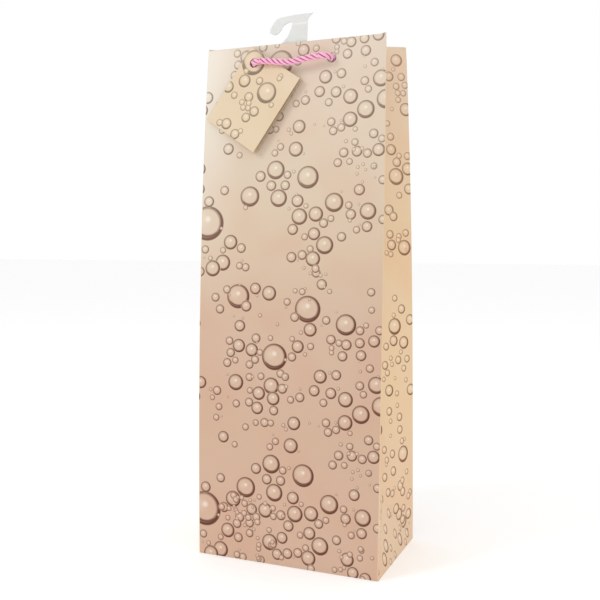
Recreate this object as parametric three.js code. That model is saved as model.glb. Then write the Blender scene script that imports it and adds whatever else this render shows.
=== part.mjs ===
// A tall paper gift bag for one bottle, standing open on its square base, in millimetres.
// +Z is up, the printed front faces -Y, and the origin is the middle of the footprint on the ground.
// The body is one creased sheet: each flat region between two creases is a mesh of its own.
import * as THREE from 'three';

// Driving dimensions
const BAG_WIDTH = 130;
const BAG_DEPTH = 84; // across the base
const BAG_HEIGHT = 350;
const MOUTH_DEPTH = 46; // across the top, where the side folds draw the walls together
const PAPER = 0.35; // laminated art paper
const GAP = 0.3; // clearance left between pieces that touch

// Base
const BOARD_THICKNESS = 1.2;
const BOARD_WIDTH = 125;
const BOARD_DEPTH = 80;
const BOARD_CORNER = 2;
const FOLD_CLEARANCE = 0.7; // base flaps stop this far inside the outer faces
const LONG_FLAP_REACH = 54; // front and back flaps, which overlap under the base
const SIDE_FLAP_REACH = 38;

// Top edge
const HEM_DEPTH = 38; // paper turned in along the mouth
const HEM_HALF_WIDTH = 60;
const STIFFENER = 0.9; // grey card under the hem
const STIFFENER_HALF_WIDTH = 57;
const STIFFENER_DEPTH = 33;

// Rope handles
const ROPE = 4.5; // diameter
const ROPE_HOLE_SPACING = 55;
const ROPE_HOLE_DROP = 12.8; // below the top edge
const ROPE_HOLE_RADIUS = 3.3;
const ROPE_BEND = 5;
const ROPE_STRAIGHT = 1.5; // along the wall, between the bend and the swinging part
const ROPE_STAND_OFF = 7.5; // handle's middle line to the outer face
const ROPE_SAG = 2.2;
const TAIL_CLEARANCE = 1; // slack rope to the hem
const TAIL_DROP = 92; // slack pulled into the bag, from hole to knot
const KNOT_RADIUS = 4.7;
const KNOT_HALF_HEIGHT = 5.5;

// Gift tag, a folded card
const TAG_LENGTH = 58;
const TAG_WIDTH = 44;
const TAG_CARD = 0.4;
const TAG_HOLE_INSET = 8; // hole centre to the spine and to the top edge
const TAG_HOLE_RADIUS = 3.3;
const TAG_STAND_OFF = 1; // wall to the back leaf, at the spine
const TAG_BACK_TILT = THREE.MathUtils.degToRad(1);
const TAG_FRONT_TILT = THREE.MathUtils.degToRad(3.2);

// Display hook
const HOOK_PLATE = 0.5;
const HOOK_TAB_DEPTH = 28; // glued length below the top edge
const PAD_THICKNESS = 0.3;

// Worked out from the sizes above
const halfWidth = BAG_WIDTH / 2;
const halfDepth = BAG_DEPTH / 2;
const wallLean = Math.atan2((BAG_DEPTH - MOUTH_DEPTH) / 2, BAG_HEIGHT);
const wallLength = BAG_HEIGHT / Math.cos(wallLean);
const hemInner = 2 * PAPER + STIFFENER + 2 * GAP;
const holeHeight = wallLength - ROPE_HOLE_DROP;
const holeSides = [-1, 1];

const colours = {
  frontPaper: 0xdcbfa8,
  sidePaper: 0xe3c59f,
  paperInside: 0xf4f1ec,
  greyBoard: 0xb7b0a6,
  rope: 0xe9a0cf,
  tagCard: 0xe6d0b2,
  hookPlastic: 0xe1e2de,
  tape: 0xf2f0e8,
};

function matte(colour, roughness = 0.7) {
  return new THREE.MeshStandardMaterial({ color: colour, roughness, metalness: 0 });
}

function piece(parent, name, geometry, material) {
  const mesh = new THREE.Mesh(geometry, material);
  mesh.name = name;
  parent.add(mesh);
  return mesh;
}

// Shapes for flat pieces

function polygon(points) {
  return new THREE.Shape(points.map(([x, y]) => new THREE.Vector2(x, y)));
}

function rectangle(left, bottom, right, top) {
  return polygon([[left, bottom], [right, bottom], [right, top], [left, top]]);
}

function punch(shape, x, y, radius) {
  const hole = new THREE.Path();
  hole.absarc(x, y, radius, 0, 2 * Math.PI, true);
  shape.holes.push(hole);
}

function lyingSheet(shape, thickness, height) {
  const geometry = new THREE.ExtrudeGeometry(shape, { depth: thickness, bevelEnabled: false, curveSegments: 6 });
  geometry.translate(0, 0, height);
  return geometry;
}

// A sheet standing in the XZ plane, from `inward` to `inward + thickness` behind the outer face.
function standingSheet(shape, thickness, inward) {
  const geometry = new THREE.ExtrudeGeometry(shape, { depth: thickness, bevelEnabled: false, curveSegments: 8 });
  geometry.rotateX(Math.PI / 2);
  geometry.translate(0, inward + thickness, 0);
  return geometry;
}

// A closed skin on a grid of outer points: it lies between the depths `near` and `far` below them.
function bentSheet(rows, near, far, outward) {
  const last = rows[0].length - 1;
  const normalAt = (i, j) => {
    const along = rows[Math.min(i + 1, rows.length - 1)][j].clone().sub(rows[Math.max(i - 1, 0)][j]);
    const across = rows[i][Math.min(j + 1, last)].clone().sub(rows[i][Math.max(j - 1, 0)]);
    const normal = along.cross(across).normalize();
    return normal.dot(outward) < 0 ? normal.negate() : normal;
  };
  const layers = [near, far].map((depth) =>
    rows.map((row, i) => row.map((point, j) => point.clone().addScaledVector(normalAt(i, j), -depth))));
  const quads = [];
  const face = (a, b, c, d) => quads.push([a, b, c], [a, c, d]);
  for (let i = 0; i + 1 < rows.length; i += 1) {
    for (let j = 0; j < last; j += 1) {
      face(layers[0][i][j], layers[0][i][j + 1], layers[0][i + 1][j + 1], layers[0][i + 1][j]);
      face(layers[1][i][j], layers[1][i + 1][j], layers[1][i + 1][j + 1], layers[1][i][j + 1]);
    }
    face(layers[0][i][0], layers[0][i + 1][0], layers[1][i + 1][0], layers[1][i][0]);
    face(layers[0][i][last], layers[1][i][last], layers[1][i + 1][last], layers[0][i + 1][last]);
  }
  for (let j = 0; j < last; j += 1) {
    const top = rows.length - 1;
    face(layers[0][0][j], layers[1][0][j], layers[1][0][j + 1], layers[0][0][j + 1]);
    face(layers[0][top][j], layers[0][top][j + 1], layers[1][top][j + 1], layers[1][top][j]);
  }
  const volume = quads.reduce((sum, [a, b, c]) => sum + a.dot(b.clone().cross(c)), 0);
  const corners = quads.flatMap((corner) => (volume < 0 ? corner.reverse() : corner));
  return new THREE.BufferGeometry().setFromPoints(corners);
}

// Rope along a route of points, as a plain round tube
function ropeTube(points, steps) {
  const section = new THREE.Shape();
  section.absarc(0, 0, ROPE / 2, 0, 2 * Math.PI);
  const path = new THREE.CatmullRomCurve3(points, false, 'centripetal');
  return new THREE.ExtrudeGeometry(section, { steps, extrudePath: path, bevelEnabled: false, curveSegments: 4 });
}

const bag = new THREE.Group();

// Base: front and back flaps glued over each other, side flaps above them, a loose card on top
const flapPitch = PAPER + GAP;
const flapWidth = halfWidth - FOLD_CLEARANCE;
const flapStart = halfDepth - FOLD_CLEARANCE;

function longFlap(side) {
  const end = flapStart - LONG_FLAP_REACH;
  const chamfer = LONG_FLAP_REACH / 3;
  return polygon([
    [-flapWidth, side * flapStart],
    [flapWidth, side * flapStart],
    [flapWidth - chamfer, side * end],
    [-flapWidth + chamfer, side * end],
  ]);
}

function sideFlap(side) {
  const start = flapWidth - FOLD_CLEARANCE;
  const end = start - SIDE_FLAP_REACH;
  const chamfer = SIDE_FLAP_REACH / 3;
  return polygon([
    [side * start, -flapStart],
    [side * start, flapStart],
    [side * end, flapStart - chamfer],
    [side * end, -flapStart + chamfer],
  ]);
}

function roundedRectangle(width, depth, radius) {
  const shape = new THREE.Shape();
  const right = width / 2 - radius;
  const back = depth / 2 - radius;
  shape.absarc(right, back, radius, 0, Math.PI / 2);
  shape.absarc(-right, back, radius, Math.PI / 2, Math.PI);
  shape.absarc(-right, -back, radius, Math.PI, 1.5 * Math.PI);
  shape.absarc(right, -back, radius, 1.5 * Math.PI, 2 * Math.PI);
  return shape;
}

piece(bag, 'base_flap_front', lyingSheet(longFlap(-1), PAPER, 0), matte(colours.frontPaper));
piece(bag, 'base_flap_back', lyingSheet(longFlap(1), PAPER, flapPitch), matte(colours.frontPaper));
for (const [name, side] of [['base_flap_left', -1], ['base_flap_right', 1]]) {
  piece(bag, name, lyingSheet(sideFlap(side), PAPER, 2 * flapPitch), matte(colours.sidePaper));
}
const baseBoard = roundedRectangle(BOARD_WIDTH, BOARD_DEPTH, BOARD_CORNER);
piece(bag, 'base_board', lyingSheet(baseBoard, BOARD_THICKNESS, 3 * flapPitch), matte(colours.greyBoard, 0.9));

// Side gussets. The middle crease is drawn inward as the walls lean together, because each half
// keeps its width, half the bag's depth. Below the apex the paper is a flat triangle on the base.
const GUSSET_FOOT = 3;
const GUSSET_COLUMNS = 3;
const GUSSET_EDGE_CLEARANCE = 2 * PAPER + GAP;
const GUSSET_HEM_SHARE = [0.15, 0.97]; // of the width from the wall to the middle crease
const CREASE_CLEARANCE = GAP;
const apexHeight = halfDepth / (1 + Math.tan(wallLean));

const wallDepthAt = (z) => halfDepth - z * Math.tan(wallLean);
const creaseInsetAt = (z) => Math.sqrt(Math.max(0, halfDepth ** 2 - wallDepthAt(z) ** 2));

function gussetEdge(side, half, z) {
  return new THREE.Vector3(side * halfWidth, half * (wallDepthAt(z) - GUSSET_EDGE_CLEARANCE), z);
}

function gussetCrease(side, half, z) {
  const rise = Math.min(z / apexHeight, 1);
  const inset = z < apexHeight ? creaseInsetAt(apexHeight) * rise : creaseInsetAt(z);
  const y = Math.max(halfDepth * (1 - rise), CREASE_CLEARANCE);
  return new THREE.Vector3(side * (halfWidth - inset), half * y, z);
}

function gussetRows(side, half, heights, from, to) {
  return heights.map((z) => {
    const edge = gussetEdge(side, half, z);
    const crease = gussetCrease(side, half, z);
    return spread(from, to, GUSSET_COLUMNS).map((share) => edge.clone().lerp(crease, share));
  });
}

function spread(from, to, count) {
  return Array.from({ length: count + 1 }, (_, i) => from + ((to - from) * i) / count);
}

const gussetHeights = [...spread(GUSSET_FOOT, apexHeight, 3), ...spread(apexHeight, BAG_HEIGHT, 12).slice(1)];
const hemHeights = spread(BAG_HEIGHT - HEM_DEPTH, BAG_HEIGHT, 2);
const TRIANGLE_MARGIN = 1;
const TRIANGLE_RISE = [0.03, 0.95]; // share of the apex height that the triangle covers

for (const [sideName, side] of [['left', -1], ['right', 1]]) {
  const outward = new THREE.Vector3(side, 0, 0);
  for (const [halfName, half] of [['front', -1], ['back', 1]]) {
    const panel = gussetRows(side, half, gussetHeights, 0, 1);
    piece(bag, `${sideName}_gusset_${halfName}_half`, bentSheet(panel, 0, PAPER, outward), matte(colours.sidePaper));
    const hem = gussetRows(side, half, hemHeights, ...GUSSET_HEM_SHARE);
    piece(bag, `${sideName}_gusset_${halfName}_hem`, bentSheet(hem, PAPER + GAP, 2 * PAPER + GAP, outward),
      matte(colours.paperInside));
  }
  const triangle = TRIANGLE_RISE.map((rise) => {
    const reach = halfDepth * (1 - rise) - TRIANGLE_MARGIN;
    const x = side * (halfWidth - creaseInsetAt(apexHeight) * rise);
    return [-reach, reach].map((y) => new THREE.Vector3(x, y, apexHeight * rise));
  });
  piece(bag, `${sideName}_gusset_triangle`, bentSheet(triangle, 0, PAPER, outward), matte(colours.sidePaper));
}

// Front and back walls. Each is built upright with its outer face at y = 0 and inward as +y,
// then leaned in from its bottom edge. Left and right are as seen from outside the wall.
function leaningWall(turn) {
  const facing = new THREE.Group();
  facing.rotation.z = turn;
  bag.add(facing);
  const wall = new THREE.Group();
  wall.position.y = -halfDepth;
  wall.rotation.x = -wallLean;
  facing.add(wall);
  return wall;
}

function withRopeHoles(shape) {
  for (const side of holeSides) {
    punch(shape, (side * ROPE_HOLE_SPACING) / 2, holeHeight, ROPE_HOLE_RADIUS);
  }
  return shape;
}

function addPaperLayers(wall, name) {
  const panel = withRopeHoles(rectangle(-halfWidth + GAP, GAP, halfWidth - GAP, wallLength));
  piece(wall, `${name}_panel`, standingSheet(panel, PAPER, 0), matte(colours.frontPaper));
  const cardTop = wallLength - GAP;
  const card = withRopeHoles(
    rectangle(-STIFFENER_HALF_WIDTH, cardTop - STIFFENER_DEPTH, STIFFENER_HALF_WIDTH, cardTop));
  piece(wall, `${name}_stiffener`, standingSheet(card, STIFFENER, PAPER + GAP), matte(colours.greyBoard, 0.9));
  const hem = withRopeHoles(rectangle(-HEM_HALF_WIDTH, wallLength - HEM_DEPTH, HEM_HALF_WIDTH, wallLength));
  piece(wall, `${name}_hem`, standingSheet(hem, PAPER, hemInner - PAPER), matte(colours.paperInside));
}

// The rope runs from a knot inside, up the wall, out through its hole, and turns along the wall.
function addHandle(wall, name) {
  const inside = hemInner + TAIL_CLEARANCE + ROPE / 2;
  const bendStart = ROPE_BEND - ROPE_STAND_OFF;
  const handleEnd = ROPE_HOLE_SPACING / 2 - ROPE_BEND - ROPE_STRAIGHT;
  const plumb = new THREE.Vector3(0, Math.sin(wallLean), -Math.cos(wallLean));
  const diagonal = ROPE_BEND * (1 - Math.SQRT1_2);
  for (const [sideName, side] of [['left', -1], ['right', 1]]) {
    const x = (side * ROPE_HOLE_SPACING) / 2;
    const top = new THREE.Vector3(x, inside, holeHeight - ROPE_BEND);
    const knotCentre = top.clone().addScaledVector(plumb, TAIL_DROP);
    const tailEnd = knotCentre.clone().addScaledVector(plumb, -KNOT_HALF_HEIGHT - GAP);
    const route = [
      tailEnd,
      ...[0.25, 0.5, 0.75].map((share) => tailEnd.clone().lerp(top, share)),
      top,
      new THREE.Vector3(x, inside - diagonal, holeHeight - diagonal),
      new THREE.Vector3(x, inside - ROPE_BEND, holeHeight),
      new THREE.Vector3(x, bendStart, holeHeight),
      new THREE.Vector3(x - side * diagonal, diagonal - ROPE_STAND_OFF, holeHeight),
      new THREE.Vector3(x - side * ROPE_BEND, -ROPE_STAND_OFF, holeHeight),
      new THREE.Vector3(side * (handleEnd + GAP), -ROPE_STAND_OFF, holeHeight),
    ];
    piece(wall, `${name}_${sideName}_rope_tail`, ropeTube(route, 40), matte(colours.rope, 0.6));
    const knot = new THREE.SphereGeometry(KNOT_RADIUS, 12, 8);
    knot.rotateX(Math.PI / 2);
    knot.scale(1, 1, KNOT_HALF_HEIGHT / KNOT_RADIUS);
    piece(wall, `${name}_${sideName}_knot`, knot, matte(colours.rope, 0.6)).position.copy(knotCentre);
  }
  const bow = spread(-handleEnd, handleEnd, 8).map((x) => {
    const drop = (ROPE_SAG * (1 + Math.cos((Math.PI * x) / handleEnd))) / 2;
    return new THREE.Vector3(x, -ROPE_STAND_OFF, holeHeight - drop);
  });
  piece(wall, `${name}_handle_rope`, ropeTube(bow, 12), matte(colours.rope, 0.6));
}

const frontWall = leaningWall(0);
const backWall = leaningWall(Math.PI);
for (const [wall, name] of [[frontWall, 'front'], [backWall, 'back']]) {
  addPaperLayers(wall, name);
  addHandle(wall, name);
}

// The sheet's glue flap, stuck behind the back panel along one edge, below the hem
const SEAM_FLAP_WIDTH = 14;
const SEAM_FLAP_EDGE_INSET = 7; // from the side crease
const SEAM_FLAP_FOOT = 6;
const SEAM_FLAP_HEM_GAP = 2;
const seamRight = halfWidth - SEAM_FLAP_EDGE_INSET;
const seamTop = wallLength - HEM_DEPTH - SEAM_FLAP_HEM_GAP;
const seamFlap = rectangle(seamRight - SEAM_FLAP_WIDTH, SEAM_FLAP_FOOT, seamRight, seamTop);
piece(backWall, 'side_seam_flap', standingSheet(seamFlap, PAPER, PAPER + GAP), matte(colours.paperInside));

// Display hook: a flat plastic plate taped inside the front wall, with its open side to the left
const HOOK_TOP = 19.4;

function hookOutline() {
  const shape = new THREE.Shape();
  shape.moveTo(-12, -HOOK_TAB_DEPTH);
  shape.lineTo(-12, 0);
  shape.bezierCurveTo(-8, 1.5, -4.4, 6, -3.2, 11.2);
  shape.lineTo(-2.4, 14.8);
  shape.bezierCurveTo(-7, 14.6, -9.3, 13, -10.6, 10.4);
  shape.bezierCurveTo(-12, 8, -14.2, 6.4, -17, 7.4);
  shape.bezierCurveTo(-19.6, 8.4, -19.6, 10.4, -18.4, 12);
  shape.bezierCurveTo(-16.6, 15, -15, 17.6, -12.6, 18);
  shape.bezierCurveTo(-7, 19.2, 2, HOOK_TOP, 12.6, HOOK_TOP);
  shape.bezierCurveTo(9.4, 17.6, 8.4, 15.6, 8.4, 12.4);
  shape.lineTo(8.4, -HOOK_TAB_DEPTH);
  return shape;
}

const padInward = hemInner + GAP;
const tapePad = rectangle(-9, -HOOK_TAB_DEPTH + 3, 5.4, -4);
const pad = piece(frontWall, 'hook_tape_pad', standingSheet(tapePad, PAD_THICKNESS, padInward), matte(colours.tape));
const plateInward = padInward + PAD_THICKNESS + GAP;
const hook = piece(frontWall, 'hang_hook', standingSheet(hookOutline(), HOOK_PLATE, plateInward),
  matte(colours.hookPlastic, 0.35));
for (const mesh of [pad, hook]) {
  mesh.position.z = wallLength;
}

// Gift tag: a folded card threaded on the left end of the front rope. It hangs with its middle
// straight below its hole, so its long side slants. The spine is on the left, and the leaves gape.
const tagHang = Math.atan2(TAG_WIDTH / 2 - TAG_HOLE_INSET, TAG_LENGTH / 2 - TAG_HOLE_INSET);
const tag = new THREE.Group();
tag.position.set(-ROPE_HOLE_SPACING / 2, 0, holeHeight);
tag.rotation.y = tagHang;
frontWall.add(tag);

function addTagLeaf(name, standOff, tilt) {
  const shape = rectangle(0, TAG_HOLE_INSET - TAG_LENGTH, TAG_WIDTH, TAG_HOLE_INSET);
  punch(shape, TAG_HOLE_INSET, 0, TAG_HOLE_RADIUS);
  const leaf = piece(tag, name, standingSheet(shape, TAG_CARD, 0), matte(colours.tagCard));
  leaf.position.set(-TAG_HOLE_INSET, -standOff - TAG_CARD, 0);
  leaf.rotation.z = -tilt;
}

addTagLeaf('tag_back_leaf', TAG_STAND_OFF, TAG_BACK_TILT);
addTagLeaf('tag_front_leaf', TAG_STAND_OFF + TAG_CARD + GAP, TAG_FRONT_TILT);

export default bag;
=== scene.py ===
# A tall paper gift bag for one bottle, standing open, with twisted rope handles, a gift tag and a hook.
# Sizes are in millimetres until a mesh is made; +Z is up and the printed front faces -Y.
import math
import random

import bpy
from mathutils import Matrix, Vector, geometry


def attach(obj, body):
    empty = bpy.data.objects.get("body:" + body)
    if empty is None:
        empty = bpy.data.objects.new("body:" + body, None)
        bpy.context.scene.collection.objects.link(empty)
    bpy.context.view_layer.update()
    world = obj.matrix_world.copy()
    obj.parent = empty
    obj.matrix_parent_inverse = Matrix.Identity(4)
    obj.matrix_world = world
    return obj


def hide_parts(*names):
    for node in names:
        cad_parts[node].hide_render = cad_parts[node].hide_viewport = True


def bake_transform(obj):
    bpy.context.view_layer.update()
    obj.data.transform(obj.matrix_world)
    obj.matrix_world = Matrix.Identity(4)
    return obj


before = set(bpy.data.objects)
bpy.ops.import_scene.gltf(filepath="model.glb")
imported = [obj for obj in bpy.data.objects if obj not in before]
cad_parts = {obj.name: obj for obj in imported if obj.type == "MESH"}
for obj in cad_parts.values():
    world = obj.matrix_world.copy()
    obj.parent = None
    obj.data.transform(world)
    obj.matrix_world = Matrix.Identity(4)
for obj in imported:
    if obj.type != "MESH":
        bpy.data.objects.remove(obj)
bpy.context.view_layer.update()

# ---- Camera and studio
# The camera stands a little over half a metre away, on the bag's right front, at two thirds of its
# height. A pale floor and a white room light the paper evenly, with one softbox for its shading.
MM = 0.001
CAMERA_PLACE = Vector((225, -546, 220))
CAMERA_TURN = math.radians(22.92)
CAMERA_DIP = math.radians(2.24)
CAMERA_ROLL = math.radians(-0.19)
CAMERA_LENS = 50.44
CAMERA_SENSOR = 36
CAMERA_SHIFT = -0.0517
FLOOR_REACH = 6.0

heading = Matrix.Rotation(CAMERA_TURN, 4, "Z")
pitch = Matrix.Rotation(math.pi / 2 - CAMERA_DIP, 4, "X")
roll = Matrix.Rotation(CAMERA_ROLL, 4, "Z")
camera_data = bpy.data.cameras.new("camera")
camera_data.lens = CAMERA_LENS
camera_data.sensor_width = CAMERA_SENSOR
camera_data.shift_y = CAMERA_SHIFT
camera = bpy.data.objects.new("camera", camera_data)
camera.matrix_world = Matrix.Translation(CAMERA_PLACE * MM) @ heading @ pitch @ roll
bpy.context.collection.objects.link(camera)
bpy.context.scene.camera = camera
bpy.context.scene.view_settings.view_transform = "Standard"


def linear(hex_colour):
    """An sRGB hex colour as the linear RGBA that shaders take."""
    channels = [int(hex_colour[i : i + 2], 16) / 255 for i in (0, 2, 4)]
    return [c / 12.92 if c <= 0.04045 else ((c + 0.055) / 1.055) ** 2.4 for c in channels] + [1]


def add(tree, kind, inputs=None, **settings):
    """Adds a node. settings are its properties, and inputs are its sockets' values, or the node or
    socket each one comes from. A Mix node's colours are its sockets 6 and 7, and its output 2."""
    node = tree.nodes.new(kind)
    for key, value in settings.items():
        setattr(node, key, value)
    for key, source in (inputs or {}).items():
        if isinstance(source, bpy.types.Node):
            source = source.outputs[0]
        if isinstance(source, bpy.types.NodeSocket):
            tree.links.new(source, node.inputs[key])
        else:
            node.inputs[key].default_value = source
    return node


def new_material(name, **sockets):
    """A material with only a Principled shader, whose even values are set on its own sockets."""
    material = bpy.data.materials.new(name)
    material.use_nodes = True
    tree = material.node_tree
    tree.nodes.clear()
    shader = add(tree, "ShaderNodeBsdfPrincipled")
    for socket, value in sockets.items():
        shader.inputs[socket.replace("_", " ")].default_value = value
    add(tree, "ShaderNodeOutputMaterial", {"Surface": shader})
    return material, tree, shader


def mesh_object(name, mesh, *materials):
    """Puts a mesh into the scene, with its materials."""
    piece = bpy.data.objects.new(name, mesh)
    bpy.context.collection.objects.link(piece)
    for material in materials:
        mesh.materials.append(material)
    return piece


# Matt white paint that glows a little, so the floor runs into the room without an edge
floor_paint, tree, shader = new_material(
    "floor_paint",
    Roughness=0.9,
    Base_Color=linear("fafafa"),
    Emission_Color=linear("ffffff"),
    Emission_Strength=0.2,
)
floor_mesh = bpy.data.meshes.new("studio_floor")
corners = [(-1, -1), (1, -1), (1, 1), (-1, 1)]
floor_mesh.from_pydata([(x * FLOOR_REACH, y * FLOOR_REACH, 0) for x, y in corners], [], [(0, 1, 2, 3)])
mesh_object("studio_floor", floor_mesh, floor_paint)

ROOM_LIGHT = 0.8  # on the bag; the camera itself sees pure white
world = bpy.data.worlds.new("studio")
world.use_nodes = True
tree = world.node_tree
tree.nodes.clear()
seen = add(tree, "ShaderNodeLightPath").outputs["Is Camera Ray"]
strength = add(tree, "ShaderNodeMapRange", {"Value": seen, "To Min": ROOM_LIGHT, "To Max": 1.0})
room = add(tree, "ShaderNodeBackground", {"Color": linear("ffffff"), "Strength": strength})
add(tree, "ShaderNodeOutputWorld", {"Surface": room})
bpy.context.scene.world = world

# Each softbox's name, its place and what it faces in metres, its width in metres and its watts
SOFTBOXES = [
    ("key_softbox", (-0.75, -0.9, 1.0), (0, 0, 0.2), 0.35, 4.4),
    ("side_softbox", (1.3, 0.15, 0.7), (0, 0, 0.15), 0.8, 2.5),
]
for name, place, faces, width, watts in SOFTBOXES:
    light = bpy.data.lights.new(name, "AREA")
    light.size = width
    light.energy = watts
    lamp = bpy.data.objects.new(name, light)
    lamp.location = place
    lamp.rotation_mode = "QUATERNION"
    lamp.rotation_quaternion = (Vector(faces) - Vector(place)).to_track_quat("-Z", "Y")
    bpy.context.collection.objects.link(lamp)

# ---- Rope handles
# Three twisted strands of bright synthetic yarn. Each rope is knotted inside the bag, comes out
# through one hole, bows along the wall and goes back in through the other hole to a second knot.
BAG_WIDTH = 130
BAG_DEPTH = 84
BAG_HEIGHT = 350
MOUTH_DEPTH = 46
HALF_WIDTH = BAG_WIDTH / 2
HALF_DEPTH = BAG_DEPTH / 2
WALL_LEAN = math.atan2((BAG_DEPTH - MOUTH_DEPTH) / 2, BAG_HEIGHT)
WALL_LENGTH = BAG_HEIGHT / math.cos(WALL_LEAN)
ROPE = 4.5
ROPE_HOLE_X = 27.5
ROPE_HOLE_RADIUS = 3.3
HOLE_HEIGHT = WALL_LENGTH - 12.8
ROPE_BEND = 5
ROPE_STAND_OFF = 7.5
ROPE_INSIDE = 5.45  # tail's middle line to the outer face
BOW_END = 21.15
BOW_SAG = 2.2
BOW_STEPS = 40
ROUTE_STEP = 0.8
ROPE_MESH_STEP = 0.5
TAIL_DROP = 92
KNOT_TOP = 5.8  # where the tail meets the knot, above the knot's middle
KNOT_ROPE = 3.6  # the rope is pulled thin in the knot
KNOT_POINTS = 96
KNOT_WIDE = 0.95
KNOT_THICK = 1.5
KNOT_LONG = 1.25
STRAND_SPACING = 4.1  # along the rope, from one strand to the next
TURN_LENGTH = 3 * STRAND_SPACING
DIAMETER_IN_STRAND_RADII = 4.2  # the rope's, with its strands pressed together
STRAND_OFF_CENTRE = 1.1  # strand radii from the rope's middle to a strand's
SECTION_POINTS = 36
SIDES = [("left", -1), ("right", 1)]
WALLS = [("front", 0.0), ("back", math.pi)]  # the back wall is the front one turned half round


def leaning(turn, x, depth, height):
    """The point at x on a straight leaning wall, depth behind its outer face and height up it."""
    y = -HALF_DEPTH + depth * math.cos(WALL_LEAN) + height * math.sin(WALL_LEAN)
    z = height * math.cos(WALL_LEAN) - depth * math.sin(WALL_LEAN)
    return Matrix.Rotation(turn, 3, "Z") @ Vector((x, y, z))


def rounded_route(corners, radius, step):
    """A line through corners, each rounded to an arc, with a point about every step."""
    route = [corners[0]]
    for before, corner, after in zip(corners, corners[1:], corners[2:]):
        back = (before - corner).normalized()
        ahead = (after - corner).normalized()
        half_angle = back.angle(ahead) / 2
        centre = corner + (back + ahead).normalized() * radius / math.sin(half_angle)
        first = corner + back * radius / math.tan(half_angle) - centre
        last = corner + ahead * radius / math.tan(half_angle) - centre
        arc_steps = max(2, round(radius * (math.pi - 2 * half_angle) / step))
        route += [centre + first.slerp(last, i / arc_steps) * radius for i in range(arc_steps + 1)]
    route.append(corners[-1])
    spaced = [route[0]]
    for start, end in zip(route, route[1:]):
        count = max(1, round((end - start).length / step))
        spaced += [start.lerp(end, i / count) for i in range(1, count + 1)]
    return spaced


def twisted_rope_tree():
    """Lays a section of three strands along a route, turned once in every Turn of its length."""
    tree = bpy.data.node_groups.new("twisted_rope", "GeometryNodeTree")
    for name, kind in [
        ("Route", "NodeSocketGeometry"),
        ("Diameter", "NodeSocketFloat"),
        ("Turn", "NodeSocketFloat"),
        ("Step", "NodeSocketFloat"),
        ("Material", "NodeSocketMaterial"),
    ]:
        tree.interface.new_socket(name, in_out="INPUT", socket_type=kind)
    tree.interface.new_socket("Rope", in_out="OUTPUT", socket_type="NodeSocketGeometry")
    given = add(tree, "NodeGroupInput").outputs

    # The middle line, turned steadily along its length
    line = add(tree, "GeometryNodeMeshToCurve", {"Mesh": given["Route"]})
    line = add(tree, "GeometryNodeResampleCurve", {"Curve": line, "Length": given["Step"]}, mode="LENGTH")
    along = add(tree, "GeometryNodeSplineParameter").outputs["Length"]
    turns = add(tree, "ShaderNodeMath", {0: along, 1: given["Turn"]}, operation="DIVIDE")
    turned = add(tree, "ShaderNodeMath", {0: turns, 1: 2 * math.pi}, operation="MULTIPLY")
    line = add(tree, "GeometryNodeSetCurveTilt", {"Curve": line, "Tilt": turned})
    line = add(tree, "GeometryNodeStoreNamedAttribute", {"Geometry": line, "Name": "turned", "Value": turned})

    # The section: the outline of three round strands that press together a little
    share = add(tree, "GeometryNodeSplineParameter").outputs["Factor"]
    around = add(tree, "ShaderNodeMath", {0: share, 1: 2 * math.pi}, operation="MULTIPLY")
    bounds = {0: around, 1: math.pi / 3, 2: -math.pi / 3}
    from_crown = add(tree, "ShaderNodeMath", bounds, operation="WRAP")
    thickness = {0: given["Diameter"], 1: DIAMETER_IN_STRAND_RADII}
    strand = add(tree, "ShaderNodeMath", thickness, operation="DIVIDE")
    offset = add(tree, "ShaderNodeMath", {0: strand, 1: STRAND_OFF_CENTRE}, operation="MULTIPLY")
    sine = add(tree, "ShaderNodeMath", {0: from_crown}, operation="SINE")
    cosine = add(tree, "ShaderNodeMath", {0: from_crown}, operation="COSINE")
    aside = add(tree, "ShaderNodeMath", {0: offset, 1: sine}, operation="MULTIPLY")
    aside_squared = add(tree, "ShaderNodeMath", {0: aside, 1: aside}, operation="MULTIPLY")
    strand_squared = add(tree, "ShaderNodeMath", {0: strand, 1: strand}, operation="MULTIPLY")
    room = add(tree, "ShaderNodeMath", {0: strand_squared, 1: aside_squared}, operation="SUBTRACT")
    outward = add(tree, "ShaderNodeMath", {0: room}, operation="SQRT")
    ahead = add(tree, "ShaderNodeMath", {0: offset, 1: cosine}, operation="MULTIPLY")
    reach = add(tree, "ShaderNodeMath", {0: ahead, 1: outward}, operation="ADD")
    turn_sine = add(tree, "ShaderNodeMath", {0: around}, operation="SINE")
    turn_cosine = add(tree, "ShaderNodeMath", {0: around}, operation="COSINE")
    x = add(tree, "ShaderNodeMath", {0: reach, 1: turn_cosine}, operation="MULTIPLY")
    y = add(tree, "ShaderNodeMath", {0: reach, 1: turn_sine}, operation="MULTIPLY")
    place = add(tree, "ShaderNodeCombineXYZ", {"X": x, "Y": y})
    section = add(tree, "GeometryNodeCurvePrimitiveCircle", {"Resolution": SECTION_POINTS})
    section = add(tree, "GeometryNodeSetPosition", {"Geometry": section, "Position": place})
    size = add(tree, "ShaderNodeMath", {0: from_crown}, operation="ABSOLUTE")
    groove = add(tree, "ShaderNodeMath", {0: size, 1: 3 / math.pi}, operation="MULTIPLY")
    for name, value in [("groove", groove), ("around", around)]:
        section = add(
            tree, "GeometryNodeStoreNamedAttribute", {"Geometry": section, "Name": name, "Value": value}
        )

    parts = {"Curve": line, "Profile Curve": section, "Fill Caps": True}
    rope = add(tree, "GeometryNodeCurveToMesh", parts)
    rope = add(tree, "GeometryNodeSetShadeSmooth", {"Geometry": rope})
    rope = add(tree, "GeometryNodeRealizeInstances", {"Geometry": rope})
    rope = add(tree, "GeometryNodeSetMaterial", {"Geometry": rope, "Material": given["Material"]})
    add(tree, "NodeGroupOutput", {"Rope": rope})
    return tree


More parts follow.
